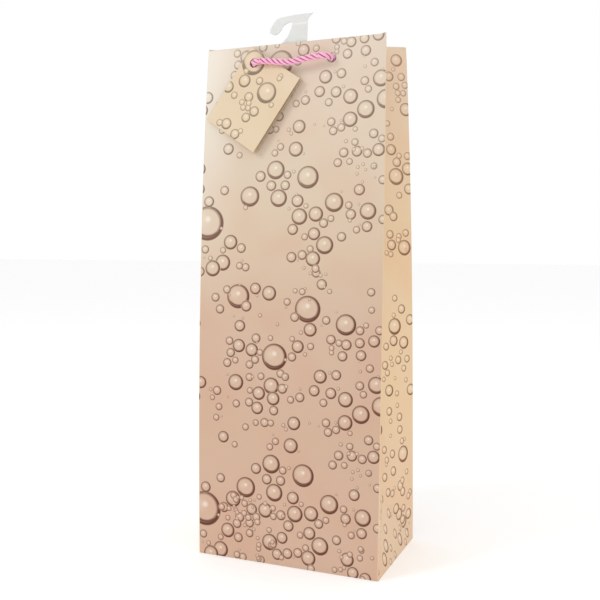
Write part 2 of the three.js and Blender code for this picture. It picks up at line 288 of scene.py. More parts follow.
# Twisted polypropylene yarn, extruded and satin: pale on each strand's crown, where the fibres show
# as fine lines, and deep magenta where the strands meet: painted shade in the grooves.
yarn, tree, shader = new_material("twisted_polypropylene", Roughness=0.42, Sheen_Weight=0.3)
groove = add(tree, "ShaderNodeAttribute", attribute_name="groove").outputs["Fac"]
around = add(tree, "ShaderNodeAttribute", attribute_name="around").outputs["Fac"]
turned = add(tree, "ShaderNodeAttribute", attribute_name="turned").outputs["Fac"]
fibre_angle = add(tree, "ShaderNodeMath", {0: around, 1: turned}, operation="ADD")
FIBRES_PER_RADIAN = 9.0
fibre = add(
    tree, "ShaderNodeTexNoise", {"W": fibre_angle, "Scale": FIBRES_PER_RADIAN}, noise_dimensions="1D"
)
crown_colours = {0: fibre, 6: linear("ffc3da"), 7: linear("f8a3c9")}
crown = add(tree, "ShaderNodeMix", crown_colours, data_type="RGBA").outputs[2]
# Painted shade: the yarn colour darkens to deep magenta towards the grooves between the strands
groove_shade_range = {"Value": groove, "From Min": 0.5, "From Max": 0.97}
depth = add(tree, "ShaderNodeMapRange", groove_shade_range, interpolation_type="SMOOTHSTEP")
yarn_colour = add(
    tree, "ShaderNodeMix", {0: depth, 6: crown, 7: linear("a23c7c")}, data_type="RGBA"
).outputs[2]
tree.links.new(yarn_colour, shader.inputs["Base Color"])
fibre_bump = add(tree, "ShaderNodeBump", {"Height": fibre, "Strength": 0.35, "Distance": 0.0002})
tree.links.new(fibre_bump.outputs[0], shader.inputs["Normal"])

rope_tree = twisted_rope_tree()


def twisted_rope(name, route, diameter, closed=False):
    """A plain mesh of twisted rope along a route in millimetres."""
    count = len(route)
    edges = [(i, (i + 1) % count) for i in range(count if closed else count - 1)]
    mesh = bpy.data.meshes.new(name)
    mesh.from_pydata([point * MM for point in route], edges, [])
    piece = mesh_object(name, mesh)
    modifier = piece.modifiers.new("rope", "NODES")
    modifier.node_group = rope_tree
    values = {
        "Diameter": diameter * MM,
        "Turn": TURN_LENGTH * MM,
        "Step": ROPE_MESH_STEP * MM,
        "Material": yarn,
    }
    for socket in rope_tree.interface.items_tree:
        if socket.in_out == "INPUT" and socket.name in values:
            modifier[socket.identifier] = values[socket.name]
    evaluated = piece.evaluated_get(bpy.context.evaluated_depsgraph_get())
    finished = bpy.data.meshes.new_from_object(evaluated)
    piece.modifiers.clear()
    piece.data = finished
    finished.name = name
    return piece


def overhand_knot(centre):
    """The line of a knot pulled tight: a trefoil, drawn out downwards."""
    line = []
    for i in range(KNOT_POINTS):
        angle = 2 * math.pi * i / KNOT_POINTS
        across = math.sin(angle) + 2 * math.sin(2 * angle)
        through = math.sin(3 * angle)
        up = math.cos(angle) - 2 * math.cos(2 * angle)
        line.append(centre + Vector((across * KNOT_WIDE, through * KNOT_THICK, up * KNOT_LONG)))
    return line


for wall, turn in WALLS:
    tails = []
    for side, sign in SIDES:
        x = sign * ROPE_HOLE_X
        top = leaning(turn, x, ROPE_INSIDE, HOLE_HEIGHT - ROPE_BEND)
        knot_centre = top - Vector((0, 0, TAIL_DROP))
        route = rounded_route(
            [
                knot_centre + Vector((0, 0, KNOT_TOP)),
                leaning(turn, x, ROPE_INSIDE, HOLE_HEIGHT),
                leaning(turn, x, -ROPE_STAND_OFF, HOLE_HEIGHT),
                leaning(turn, sign * BOW_END, -ROPE_STAND_OFF, HOLE_HEIGHT),
            ],
            ROPE_BEND,
            ROUTE_STEP,
        )
        tail = twisted_rope(f"{wall}_{side}_tail", route, ROPE)
        knot = twisted_rope(f"{wall}_{side}_tail_knot", overhand_knot(knot_centre), KNOT_ROPE, closed=True)
        for piece, node in [(tail, "rope_tail"), (knot, "knot")]:
            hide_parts(f"{wall}_{side}_{node}")
            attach(piece, f"{wall}_wall")
    bow_route = []
    for i in range(BOW_STEPS + 1):
        x = BOW_END * (2 * i / BOW_STEPS - 1)
        sag = BOW_SAG * (1 + math.cos(math.pi * x / BOW_END)) / 2
        bow_route.append(leaning(turn, x, -ROPE_STAND_OFF, HOLE_HEIGHT - sag))
    bow = twisted_rope(f"{wall}_handle_bow", bow_route, ROPE)
    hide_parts(f"{wall}_handle_rope")
    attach(bow, f"{wall}_handle")

# ---- Bubble print
# The sheet is printed before it is cut: clusters of round bubbles with brown rims on a blush ground.
# The artwork repeats up the sheet, and once for each broad wall with the side on its right.
ARTWORK_RISE = 197.3
ARTWORK_RUN = BAG_WIDTH + BAG_DEPTH
# radius: (across from the middle of the front, up from the base) of each bubble on the broad wall
FRONT_BUBBLES = {
    12: [(-60, 32)],
    9: [(-9, 139.5), (14, 172)],
    8.3: [(-36, 179.5)],
    7.6: [(12.5, 62)],
    7: [(40.5, 162.5), (-29, 50)],
    6.4: [(31, 45), (65, 111), (-10.5, 67.5)],
    6: [(51.5, 105), (-8, 48.5), (25, 17)],
    5.6: [
        (-48, 5), (-11, 120), (-37, 121), (-38.5, 41), (54, 39), (-11, 15), (7, 36), (61.5, 124.5),
        (-55.5, 1),
    ],
    5.1: [
        (41, 114), (-13.5, 182), (41, 99), (-14.5, 36), (18.5, 37.5), (17, 8), (3.5, 81),
        (-42.5, 19),
    ],
    4.6: [
        (16, 158.5), (-20, 114.5), (5.5, 96), (23.5, 128), (-35, 146), (-25.5, 143.5),
        (-9.5, 111.5), (44, 11),
    ],
    4.3: [(5.5, 46.5), (7.5, 147), (17.5, 24.5), (60.5, 78.5), (-21, 104.5), (-63.5, 119.5)],
    4: [
        (-34.5, 159.5), (48, 3), (56.5, 0.5), (-2, 19), (-46, 83), (-24.5, 35.5), (-23.5, 185),
        (59.5, 152.5),
    ],
    3.8: [
        (31, 117.5), (-59.5, 47), (-21.5, 63.5), (2.5, 27.5), (-5.5, 7.5), (-30, 173), (48, 53),
        (19.5, 118.5),
    ],
    3.6: [
        (23.5, 188.5), (46, 78), (42.5, 37), (53.5, 29), (41, 149.5), (51, 143), (-13.5, 57),
        (2, 9), (-45.5, 34.5),
    ],
    3.4: [
        (50, 151), (38.5, 142), (34.5, 129.5), (-3, 118.5), (-3.5, 57), (-3, 34), (-33.5, 29),
        (-34.5, 15),
    ],
    3.3: [
        (30.5, 152.5), (9.5, 113.5), (-22.5, 151.5), (-9, 103.5), (37, 77.5), (-48, 54.5),
        (-35.5, 24.5), (9.5, 10.5),
    ],
    3.2: [
        (24, 31.5), (-26, 26), (36.5, 22.5), (57, 89), (5, 166.5), (-49.5, 170.5), (-41, 141),
        (-51, 114.5),
    ],
    3.1: [
        (-15.5, 95), (53, 76.5), (-53, 178.5), (64, 33.5), (19.5, 196), (3.5, 140), (-43.5, 134),
        (-27, 108),
    ],
    3: [
        (33, 71), (63.5, 59), (-17.5, 2), (50, 159), (63, 159.5), (50.5, 123.5), (28, 98),
        (29.5, 92), (-21, 30.5),
    ],
    2.9: [
        (-44.5, 184), (-4.5, 128.5), (-42, 149), (-27, 133.5), (-26, 19), (-61.5, 14), (-31, 2),
        (27, 165), (-23, 137),
    ],
    2.8: [
        (-1, 126.5), (26, 111), (35, 94), (-36.5, 106.5), (-2, 64), (57, 184), (19, 1.5),
        (57, 135), (-27, 125),
    ],
    2.6: [
        (-18.5, 126), (-49.5, 103.5), (62.5, 85.5), (-0.5, 176.5), (3, 111.5), (-7.5, 83),
        (41, 43), (-35.5, 3),
    ],
    2.5: [
        (53, 118), (-29.5, 91), (-11.5, 79), (44.5, 84), (46.5, 27), (-8.5, 32.5), (15, 14.5),
        (16.5, 147.5),
    ],
    2.4: [
        (-37.5, 136), (-51.5, 96), (-11, 95), (29, 34.5), (-27, 29.5), (11, 22.5), (10, 183.5),
        (36, 150.5),
    ],
    2.3: [
        (57.5, 172.5), (-26.5, 116), (-37.5, 78.5), (41, 71.5), (57.5, 68), (-48, 13.5),
        (-22, 94.5), (-19.5, 142),
    ],
    2: [
        (-19, 44.5), (-11.5, 23), (53, 19), (-54.5, 109.5), (-42.5, 27.5), (54, 162.5), (3.5, 152),
        (-12, 152), (31, 147),
    ],
    1.8: [
        (31, 144), (44.5, 92.5), (5, 184), (29, 184), (11.5, 43), (-32, 42.5), (-41.5, 34),
        (-57.5, 8),
    ],
}
# radius: (across from the front fold, up from the base) on the folded side; these don't repeat upwards
SIDE_BUBBLES = {
    6: [(66, 156), (72, 261.5), (71, 64.5)],
    5.6: [(77, 211.5), (20, 120), (14, 300)],
    4.6: [(81.5, 308), (81.5, 267), (74.5, 144), (24, 40), (9, 210)],
    4.2: [(76, 341), (58, 111.5), (81, 109.5), (18, 255), (30, 175)],
    3.9: [
        (69, 280), (82, 253), (65, 238), (66, 213.5), (81, 160), (64.5, 146), (66, 43), (60, 28),
        (77, 20), (33, 325),
    ],
    3.4: [
        (70, 330), (73, 271.5), (73, 168), (58, 55), (69, 38), (69, 18), (68.5, 233.5), (84, 196),
        (35, 90), (12, 64),
    ],
    3.1: [
        (65, 221), (68.5, 132), (55, 129.5), (57, 97), (68, 91.5), (68, 82.5), (58, 67), (47, 53),
        (49.5, 42),
    ],
    2.8: [
        (79, 330), (79, 35), (70, 26), (77.5, 132), (57, 142.5), (78.5, 222), (81.5, 276),
        (69, 289), (49, 71.5),
    ],
    2.5: [
        (75, 323.5), (81.5, 324.5), (74, 248.5), (72.5, 219.5), (67, 176), (74, 125.5), (57, 124),
        (70, 74), (51, 64),
    ],
    2.2: [
        (75, 51), (66, 108.5), (76, 319), (80, 319), (76, 314.5), (67, 298), (75, 276), (65, 207),
        (72, 217),
    ],
    1.9: [
        (61.5, 208), (65.5, 164), (71.5, 137.5), (61, 134), (62, 129.5), (76, 117), (66, 100),
        (58, 90), (53, 120),
    ],
    4.3: [(20, 7), (28, 13), (57, 8), (70, 16), (64, 23), (44, 86), (38, 101)],
    3.3: [(17, 23), (34, 22), (74, 7), (50, 14), (47, 28.5), (13, 38.5), (28, 33)],
    2.7: [(55, 40), (77, 33), (18, 47), (32, 57), (13, 59), (69, 46), (32, 68), (40, 40)],
    2.4: [(10, 78), (4, 5), (41, 3), (8, 17), (23, 29), (30, 2), (67, 3), (36, 9), (62, 14)],
    1.5: [(73.5, 75), (50, 61), (51, 26.5), (73.5, 335), (71, 308), (57, 80), (64.5, 119.5), (58, 43)],
}
# (across, up, radius) of ground that is crowded at the foot of the bag and open in the repeat above
CROWDED_GROUND = [(-17, 27, 19), (-12, 4, 10), (-41, 36, 10), (50, 6, 16)]
BUBBLE_MARGIN = 1.05  # the drawn patch is this much wider than its rim
SPECKS = 80
SPECK_HOSTS = slice(10, 150)  # the bubbles that specks gather round
SPECK_RADIUS = (0.7, 1.5)
SPECK_SPREAD = 7
CROWDING = 0.6  # small bubbles for each millimetre of crowded ground's radius
CROWD_RADIUS = (1.2, 2.6)

speck_draw = random.Random(11)


def printed_bubbles():
    """Every bubble on the whole sheet: across from the middle of the front, up, radius."""
    tile = [(x, z, radius) for radius, places in FRONT_BUBBLES.items() for x, z in places]
    for _ in range(SPECKS):
        x, z, radius = speck_draw.choice(tile[SPECK_HOSTS])
        size = speck_draw.uniform(*SPECK_RADIUS)
        angle = speck_draw.uniform(0, 2 * math.pi)
        away = radius + size + abs(speck_draw.gauss(0, SPECK_SPREAD))
        tile.append((x + away * math.cos(angle), z + away * math.sin(angle), size))
    side = [(HALF_WIDTH + x, z, radius) for radius, places in SIDE_BUBBLES.items() for x, z in places]
    upper = [
        (x, z + ARTWORK_RISE, radius)
        for x, z, radius in tile
        if all(math.dist((x, z), ground[:2]) > ground[2] for ground in CROWDED_GROUND)
    ]
    for x, z, reach in CROWDED_GROUND:
        for _ in range(round(reach * CROWDING)):
            angle = speck_draw.uniform(0, 2 * math.pi)
            away = reach * math.sqrt(speck_draw.random())
            size = speck_draw.uniform(*CROWD_RADIUS)
            tile.append((x + away * math.cos(angle), z + away * math.sin(angle), size))
    column = side + tile + upper
    column.sort(key=lambda bubble: -bubble[2])
    return [(x + run * ARTWORK_RUN, z, radius) for run in (-1, 0, 1) for x, z, radius in column]


sheet_bubbles = printed_bubbles()

SHEET_UNIT = 100  # millimetres of sheet to one unit of its UV map
BUBBLE_UNIT = 10  # millimetres of a bubble's radius to one unit of its size map
OFF_BUBBLES = (4, 4)  # a place outside every rim, for the ground between them
HOLE_POINTS = 24
BUBBLE_POINTS = [(5, 28), (2.2, 20), (0, 12)]  # (radii over this, points round the edge)
NUDGE = 0.05  # to each side, for a sheet's slope


def ring(x, y, radius, count):
    """A circle's points, counter-clockwise."""
    return [
        (x + radius * math.cos(2 * math.pi * i / count), y + radius * math.sin(2 * math.pi * i / count))
        for i in range(count)
    ]


def flat_sheet(outline, holes, bubbles, columns, rows, creases):
    """Triangulates an outline with round holes, so that each bubble's edge and each crease is a line
    of the mesh. Returns the points, the triangles, and the bubble on top of each triangle, or None."""
    points = []
    loops = []
    doubled_area = sum(a[0] * b[1] - b[0] * a[1] for a, b in zip(outline, outline[1:] + outline[:1]))
    outer = outline if doubled_area > 0 else outline[::-1]
    for loop in [outer, *[ring(*hole, HOLE_POINTS) for hole in holes]]:
        loops.append(list(range(len(points), len(points) + len(loop))))
        points += loop
    for x, y, radius in bubbles:
        count = next(count for least, count in BUBBLE_POINTS if radius > least)
        loop = ring(x, y, radius * BUBBLE_MARGIN, count)
        loops.append(list(range(len(points), len(points) + len(loop))))
        points += loop
    points += [(x, y) for x in columns for y in rows]
    edges = []
    for start, end in creases:
        edges.append((len(points), len(points) + 1))
        points += [start, end]
    made = geometry.delaunay_2d_cdt([Vector(p) for p in points], edges, loops, 1, 1e-5)
    flat, triangles, sources = made[0], made[2], made[5]
    kept = []
    tops = []
    first_bubble = 1 + len(holes)
    for corners, source in zip(triangles, sources):
        if 0 not in source or any(0 < number < first_bubble for number in source):
            continue
        area = (flat[corners[1]] - flat[corners[0]]).cross(flat[corners[2]] - flat[corners[0]])
        kept.append(corners if area > 0 else corners[::-1])
        top = max(source)
        tops.append(bubbles[top - first_bubble] if top >= first_bubble else None)
    return flat, kept, tops


def even(start, end, step):
    """Values from start to end in equal steps, none longer than step."""
    count = max(1, math.ceil(abs(end - start) / step))
    return [start + (end - start) * i / count for i in range(count + 1)]


def paper_piece(
    name, materials, outline, place, thickness, run=0, holes=(), bubbles=(), creases=(), step=8
):
    """A sheet cut to an outline, laid where place(across, up) says, with its printed side outward.
    materials are the printed side and the plain side; run is where it starts on the whole sheet."""
    left = min(x for x, y in outline)
    right = max(x for x, y in outline)
    bottom = min(y for x, y in outline)
    top = max(y for x, y in outline)
    near = [
        (x - run, y, radius)
        for x, y, radius in bubbles
        if left - radius < x - run < right + radius and bottom - radius < y < top + radius
    ]
    columns = even(left, right, step)
    rows = even(bottom, top, step)
    flat, triangles, tops = flat_sheet(outline, holes, near, columns, rows, creases)
    used = sorted({corner for corners in triangles for corner in corners})
    number = {corner: i for i, corner in enumerate(used)}
    outer = [place(*flat[corner]) for corner in used]
    inner = []
    for corner, point in zip(used, outer):
        x, y = flat[corner]
        across = place(x + NUDGE, y) - place(x - NUDGE, y)
        upward = place(x, y + NUDGE) - place(x, y - NUDGE)
        inner.append(point - across.cross(upward).normalized() * thickness)
    count = len(used)
    faces = [[number[c] for c in corners] for corners in triangles]
    single = {}
    for corners in faces:
        for a, b in zip(corners, corners[1:] + corners[:1]):
            if (b, a) in single:
                del single[b, a]
            else:
                single[a, b] = True
    plain = [[c + count for c in reversed(corners)] for corners in faces]
    rim = [[b, a, a + count, b + count] for a, b in single]
    mesh = bpy.data.meshes.new(name)
    mesh.from_pydata([point * MM for point in outer + inner], [], faces + plain + rim)
    bubble_map = mesh.uv_layers.new(name="bubble")
    size_map = mesh.uv_layers.new(name="bubble_size")
    sheet_map = mesh.uv_layers.new(name="sheet")
    places = [flat[corner] for corner in used] * 2
    for polygon in mesh.polygons:
        printed = polygon.index < len(faces)
        bubble = tops[polygon.index] if printed else None
        polygon.material_index = 0 if printed else 1
        polygon.use_smooth = polygon.index < len(faces) + len(plain)
        for loop in polygon.loop_indices:
            x, y = places[mesh.loops[loop].vertex_index]
            sheet_map.data[loop].uv = ((x + run) / SHEET_UNIT, y / SHEET_UNIT)
            if bubble:
                centre_x, centre_y, radius = bubble
                bubble_map.data[loop].uv = ((x - centre_x) / radius, (y - centre_y) / radius)
                size_map.data[loop].uv = (radius / BUBBLE_UNIT, 0)
            else:
                bubble_map.data[loop].uv = OFF_BUBBLES
    rim_edges = {tuple(sorted(edge)) for edge in single}
    rim_edges |= {(a + count, b + count) for a, b in rim_edges}
    for edge in mesh.edges:
        edge.use_edge_sharp = tuple(sorted(edge.vertices)) in rim_edges
    return mesh_object(name, mesh, *materials)


# A bubble's pale places: moved by, how far from there it is strongest and gone, how strong, its colour
PALE_PLACES = [
    ((0, 0, 0), 0.7, 1.0, 0.1, "dcc3ac"),
    ((0.3, -0.2, 0), 0.0, 0.6, 0.24, "ece0c8"),
    ((0, -0.24, 0), 0.05, 0.26, 0.4, "fff8ee"),
]


def printed_paper(name, ground, blush, rim_colour, rim_strength):
    """Offset-printed art paper under a matt film: even and soft, with only a broad, low sheen.
    ground lists the colours up the sheet as (height in millimetres, hex)."""
    material, tree, shader = new_material(name, Roughness=0.46, Specular_IOR_Level=0.35)
    sheet = add(tree, "ShaderNodeUVMap", uv_map="sheet")
    across = add(tree, "ShaderNodeSeparateXYZ", {0: sheet})
    up = add(tree, "ShaderNodeMath", {0: across.outputs[1], 1: SHEET_UNIT / BAG_HEIGHT}, operation="MULTIPLY")
    ramp = add(tree, "ShaderNodeValToRGB", {0: up})
    while len(ramp.color_ramp.elements) < len(ground):
        ramp.color_ramp.elements.new(0.5)
    for element, (height, colour) in zip(ramp.color_ramp.elements, ground):
        element.position = height / BAG_HEIGHT
        element.color = linear(colour)
    # Cloudy change from beige to pink, about 45 mm from cloud to cloud
    cloud = add(tree, "ShaderNodeTexNoise", {"Vector": sheet, "Scale": 2.2, "Detail": 1.0})
    cloud_range = {"Value": cloud, "From Min": 0.42, "From Max": 0.68, "To Max": 0.25}
    cloudy = add(tree, "ShaderNodeMapRange", cloud_range, interpolation_type="SMOOTHSTEP")
    base = add(
        tree, "ShaderNodeMix", {0: cloudy, 6: ramp, 7: linear(blush)}, data_type="RGBA", blend_type="MULTIPLY"
    ).outputs[2]

    # Painted light from the key side: the front pales to cream towards its upper left
    painted_light_left_range = {"Value": across.outputs[0], "From Min": -0.3, "From Max": -0.68}
    painted_light_left = add(tree, "ShaderNodeMapRange", painted_light_left_range, interpolation_type="SMOOTHSTEP")
    painted_light_top_range = {"Value": across.outputs[1], "From Min": 1.6, "From Max": 3.6}
    painted_light_top = add(tree, "ShaderNodeMapRange", painted_light_top_range, interpolation_type="SMOOTHSTEP")
    corner = add(tree, "ShaderNodeMath", {0: painted_light_left, 1: painted_light_top}, operation="MULTIPLY")
    base = add(tree, "ShaderNodeMix", {0: corner, 6: base, 7: linear("e6ddcf")}, data_type="RGBA").outputs[2]

    # Where this point is in its bubble: (0, 0) in the middle, 1 away at the rim
    bubble = add(tree, "ShaderNodeUVMap", uv_map="bubble")
    size = add(tree, "ShaderNodeSeparateXYZ", {0: add(tree, "ShaderNodeUVMap", uv_map="bubble_size")})
    away = add(tree, "ShaderNodeVectorMath", {0: bubble}, operation="LENGTH").outputs["Value"]
    # The rim's inner edge is a circle moved up and to the left, so the rim is thicker below right
    moved = add(tree, "ShaderNodeVectorMath", {0: bubble, 1: (0.05, -0.045, 0)}, operation="ADD")
    inner = add(tree, "ShaderNodeVectorMath", {0: moved}, operation="LENGTH").outputs["Value"]
    big = add(tree, "ShaderNodeMapRange", {"Value": size.outputs[0], "From Min": 0.15, "From Max": 0.8})
    rim_start = add(tree, "ShaderNodeMapRange", {"Value": big, "To Min": 0.5, "To Max": 0.7})
    rim_full = add(tree, "ShaderNodeMapRange", {"Value": big, "To Min": 0.93, "To Max": 0.92})
    rim_rise = {"Value": inner, "From Min": rim_start, "From Max": rim_full}
    rim_in = add(tree, "ShaderNodeMapRange", rim_rise, interpolation_type="SMOOTHSTEP")
    rim_fall = {"Value": away, "From Min": 0.95, "From Max": 1.03, "To Min": 1.0, "To Max": 0.0}
    rim_out = add(tree, "ShaderNodeMapRange", rim_fall, interpolation_type="SMOOTHSTEP")
    rim = add(tree, "ShaderNodeMath", {0: rim_in, 1: rim_out}, operation="MULTIPLY")
    # The rim is lighter at the upper left
    side = add(tree, "ShaderNodeVectorMath", {0: bubble, 1: (0.62, -0.55, 0)}, operation="DOT_PRODUCT")
    lit_range = {"Value": side.outputs["Value"], "From Min": -0.9, "From Max": 0.4, "To Min": 0.85}
    lit = add(tree, "ShaderNodeMapRange", lit_range)
    rim = add(tree, "ShaderNodeMath", {0: rim, 1: lit}, operation="MULTIPLY")

    # A dark band above the bottom of the larger bubbles, from one side of the rim to the other
    band_centre = add(tree, "ShaderNodeVectorMath", {0: bubble, 1: (0.0, -0.16, 0)}, operation="ADD")
    band_away = add(tree, "ShaderNodeVectorMath", {0: band_centre}, operation="LENGTH").outputs["Value"]
    band_middle = add(tree, "ShaderNodeMath", {0: band_away, 1: 0.91}, operation="SUBTRACT")
    band_off = add(tree, "ShaderNodeMath", {0: band_middle}, operation="ABSOLUTE")
    band_fall = {"Value": band_off, "From Min": 0.0, "From Max": 0.15, "To Min": 1.0, "To Max": 0.0}
    band = add(tree, "ShaderNodeMapRange", band_fall, interpolation_type="SMOOTHSTEP")
    up_in_bubble = add(tree, "ShaderNodeSeparateXYZ", {0: bubble}).outputs[1]
    low_range = {"Value": up_in_bubble, "From Min": -0.1, "From Max": -0.6}
    low = add(tree, "ShaderNodeMapRange", low_range, interpolation_type="SMOOTHSTEP")
    banded = add(tree, "ShaderNodeMapRange", {"Value": size.outputs[0], "From Min": 0.35, "From Max": 0.6})
    for share in (low, banded, rim_out):
        band = add(tree, "ShaderNodeMath", {0: band, 1: share}, operation="MULTIPLY")
    dark = add(tree, "ShaderNodeMath", {0: rim, 1: band}, operation="MAXIMUM")
    # Small bubbles are drawn with a paler line, and all of them pale towards the top of the sheet
    line = add(tree, "ShaderNodeMapRange", {"Value": big, "From Max": 0.4, "To Min": 0.72, "To Max": 1.0})
    paling = add(tree, "ShaderNodeMapRange", {"Value": up, "From Min": 0.4, "To Min": 1.0, "To Max": 0.72})
    for share in (line, paling, rim_strength):
        dark = add(tree, "ShaderNodeMath", {0: dark, 1: share}, operation="MULTIPLY")

    # Inside, a bubble is a little paler than the ground, palest at the upper left
    film = base
    for shift, near, far, most, pale_colour in PALE_PLACES:
        pale_shift = add(tree, "ShaderNodeVectorMath", {0: bubble, 1: shift}, operation="ADD")
        pale_away = add(tree, "ShaderNodeVectorMath", {0: pale_shift}, operation="LENGTH").outputs["Value"]
        pale_range = {"Value": pale_away, "From Min": near, "From Max": far, "To Min": most, "To Max": 0.0}
        pale = add(tree, "ShaderNodeMapRange", pale_range, interpolation_type="SMOOTHSTEP")
        film = add(tree, "ShaderNodeMix", {0: pale, 6: film, 7: linear(pale_colour)}, data_type="RGBA")
        film = film.outputs[2]
    colour = add(
        tree, "ShaderNodeMix", {0: dark, 6: film, 7: linear(rim_colour)}, data_type="RGBA"
    ).outputs[2]
    tree.links.new(colour, shader.inputs["Base Color"])

    # Paper grain under the film, about 0.4 mm from fibre to fibre, over faint waves 25 mm long
    spot_place = add(tree, "ShaderNodeTexCoord").outputs["Object"]
    grain = add(tree, "ShaderNodeTexNoise", {"Vector": spot_place, "Scale": 2500.0, "Detail": 2.0})
    wave = add(tree, "ShaderNodeTexNoise", {"Vector": spot_place, "Scale": 40.0, "Detail": 1.0})
    grain_bump = add(tree, "ShaderNodeBump", {"Height": grain, "Strength": 0.12, "Distance": 0.00005})
    wave_bump = add(
        tree, "ShaderNodeBump", {"Height": wave, "Strength": 0.25, "Distance": 0.0006, "Normal": grain_bump}
    )
    tree.links.new(wave_bump.outputs[0], shader.inputs["Normal"])
    return material


front_print = printed_paper(
    "matt_laminated_print",
    [(0, "cfad96"), (90, "cdac94"), (160, "cfb19a"), (210, "d3bba2"), (260, "d7c4ad"), (345, "dccbb8")],
    "fbe2dc",
    "60301a",
    1.0,
)
side_print = printed_paper(
    "matt_laminated_print_sides",
    [(0, "dec09f"), (40, "e2c29f"), (120, "e3c7a1"), (230, "e1c6a2"), (345, "e3ccb4")],
    "fde6d4",
    "744016",
    1.0,
)


def uncoated_paper(name, roughness, shine, clumps_per_metre, tones):
    """A sheet's plain side: matt, and faintly mottled in two tones where its fibres clump."""
    material, tree, shader = new_material(name, Roughness=roughness, Specular_IOR_Level=shine)
    place = add(tree, "ShaderNodeTexCoord").outputs["Object"]
    clumps = add(tree, "ShaderNodeTexNoise", {"Vector": place, "Scale": clumps_per_metre, "Detail": 4.0})
    tone_mix = {0: clumps, 6: linear(tones[0]), 7: linear(tones[1])}
    colour = add(tree, "ShaderNodeMix", tone_mix, data_type="RGBA").outputs[2]
    tree.links.new(colour, shader.inputs["Base Color"])
    bump = add(tree, "ShaderNodeBump", {"Height": clumps, "Strength": 0.2, "Distance": 0.0001})
    tree.links.new(bump.outputs[0], shader.inputs["Normal"])
    return material


plain_paper = uncoated_paper("uncoated_white_paper", 0.75, 0.3, 600.0, ("f4f1ea", "e9e4da"))

# ---- Broad walls
# The front and back of the bag: one panel of art paper each, bowed out a little along its side folds,
# turned in over a strip of grey board at the mouth, and punched twice for the rope.
PAPER = 0.35
FOLD_RADIUS = 0.6  # side folds
HEM_DEPTH = 38
HEM_HALF_WIDTH = 60
HEM_FOLD = 1.1  # radius of the turned top edge
TURN_STEPS = 6  # round each turned edge
HEM_STARTS = WALL_LENGTH - HEM_FOLD
HEM_ENDS = HEM_STARTS + math.pi * HEM_FOLD + HEM_DEPTH - HEM_FOLD
MOUTH_DRAW = {"front": 18.5, "back": 19.5}  # how far each wall is drawn in at the mouth
LEFT_BOW = 2.4
RIGHT_BOW = 1.25
BACK_BOW = 3
CUT_GAP = 0.3  # between a cut edge and what it stops at


def drawn_in(wall, across, rise):
    """How far a wall leans in at a share of its height: its left fold bows, its right is straighter."""
    bowed = rise**LEFT_BOW
    straighter = 1 - max(0.0, 1 - rise) ** RIGHT_BOW if wall == "front" else rise**BACK_BOW
    share = min(max(across / BAG_WIDTH + 0.5, 0), 1)
    if wall == "back":
        return MOUTH_DRAW[wall] * (straighter * (1 - share) + bowed * share)
    return MOUTH_DRAW[wall] * (bowed * (1 - share) + straighter * share)


def on_wall(wall, across, height, depth):
    """A point on a bowed wall; across is to the right as seen from outside that wall."""
    rise = min(height / WALL_LENGTH, 1)
    beyond = max(height - WALL_LENGTH, 0)
    y = -HALF_DEPTH + drawn_in(wall, across, rise) + beyond * math.sin(WALL_LEAN)
    point = Vector((across, y + depth * math.cos(WALL_LEAN), height * math.cos(WALL_LEAN)))
    point.z -= depth * math.sin(WALL_LEAN) * rise
    return point if wall == "front" else Vector((-point.x, -point.y, point.z))


def turned_in(along, starts, radius):
    """Height and depth of a point that far along a strip which turns in over its top edge."""
    past = along - starts
    if past <= 0:
        return along, 0
    angle = past / radius
    if angle < math.pi:
        return starts + radius * math.sin(angle), radius * (1 - math.cos(angle))
    return starts - (past - math.pi * radius), 2 * radius


def turned_creases(starts, radius, left, right):
    """Lines across a strip's turned top edge, close enough together to round it."""
    heights = [starts + math.pi * radius * i / TURN_STEPS for i in range(TURN_STEPS + 1)]
    return [((left, height), (right, height)) for height in heights]


wall_edge = HALF_WIDTH - FOLD_RADIUS
taper_starts = WALL_LENGTH + 2 * CUT_GAP
taper_ends = WALL_LENGTH + 4
wall_outline = [
    (-wall_edge, CUT_GAP),
    (wall_edge, CUT_GAP),
    (wall_edge, taper_starts),
    (HEM_HALF_WIDTH, taper_ends),
    (HEM_HALF_WIDTH, HEM_ENDS),
    (-HEM_HALF_WIDTH, HEM_ENDS),
    (-HEM_HALF_WIDTH, taper_ends),
    (-wall_edge, taper_starts),
]
hem_hole_height = HEM_STARTS + math.pi * HEM_FOLD + HEM_STARTS - HOLE_HEIGHT
rope_holes = [
    (sign * ROPE_HOLE_X, height, ROPE_HOLE_RADIUS)
    for sign in (-1, 1)
    for height in (HOLE_HEIGHT, hem_hole_height)
]

# Grey board: recycled fibre with darker and lighter flecks
grey_board, tree, shader = new_material("grey_board", Roughness=0.85, Specular_IOR_Level=0.25)
spot_place = add(tree, "ShaderNodeTexCoord").outputs["Object"]
flecks = add(tree, "ShaderNodeTexNoise", {"Vector": spot_place, "Scale": 900.0, "Detail": 5.0})
board_ramp = add(tree, "ShaderNodeValToRGB", {0: flecks})
BOARD_FLECKS = [(0.35, "8f8880"), (0.65, "bdb6ab")]
for element, (position, colour) in zip(board_ramp.color_ramp.elements, BOARD_FLECKS):
    element.position = position
    element.color = linear(colour)
tree.links.new(board_ramp.outputs[0], shader.inputs["Base Color"])
board_bump = add(tree, "ShaderNodeBump", {"Height": flecks, "Strength": 0.4, "Distance": 0.0002})
tree.links.new(board_bump.outputs[0], shader.inputs["Normal"])

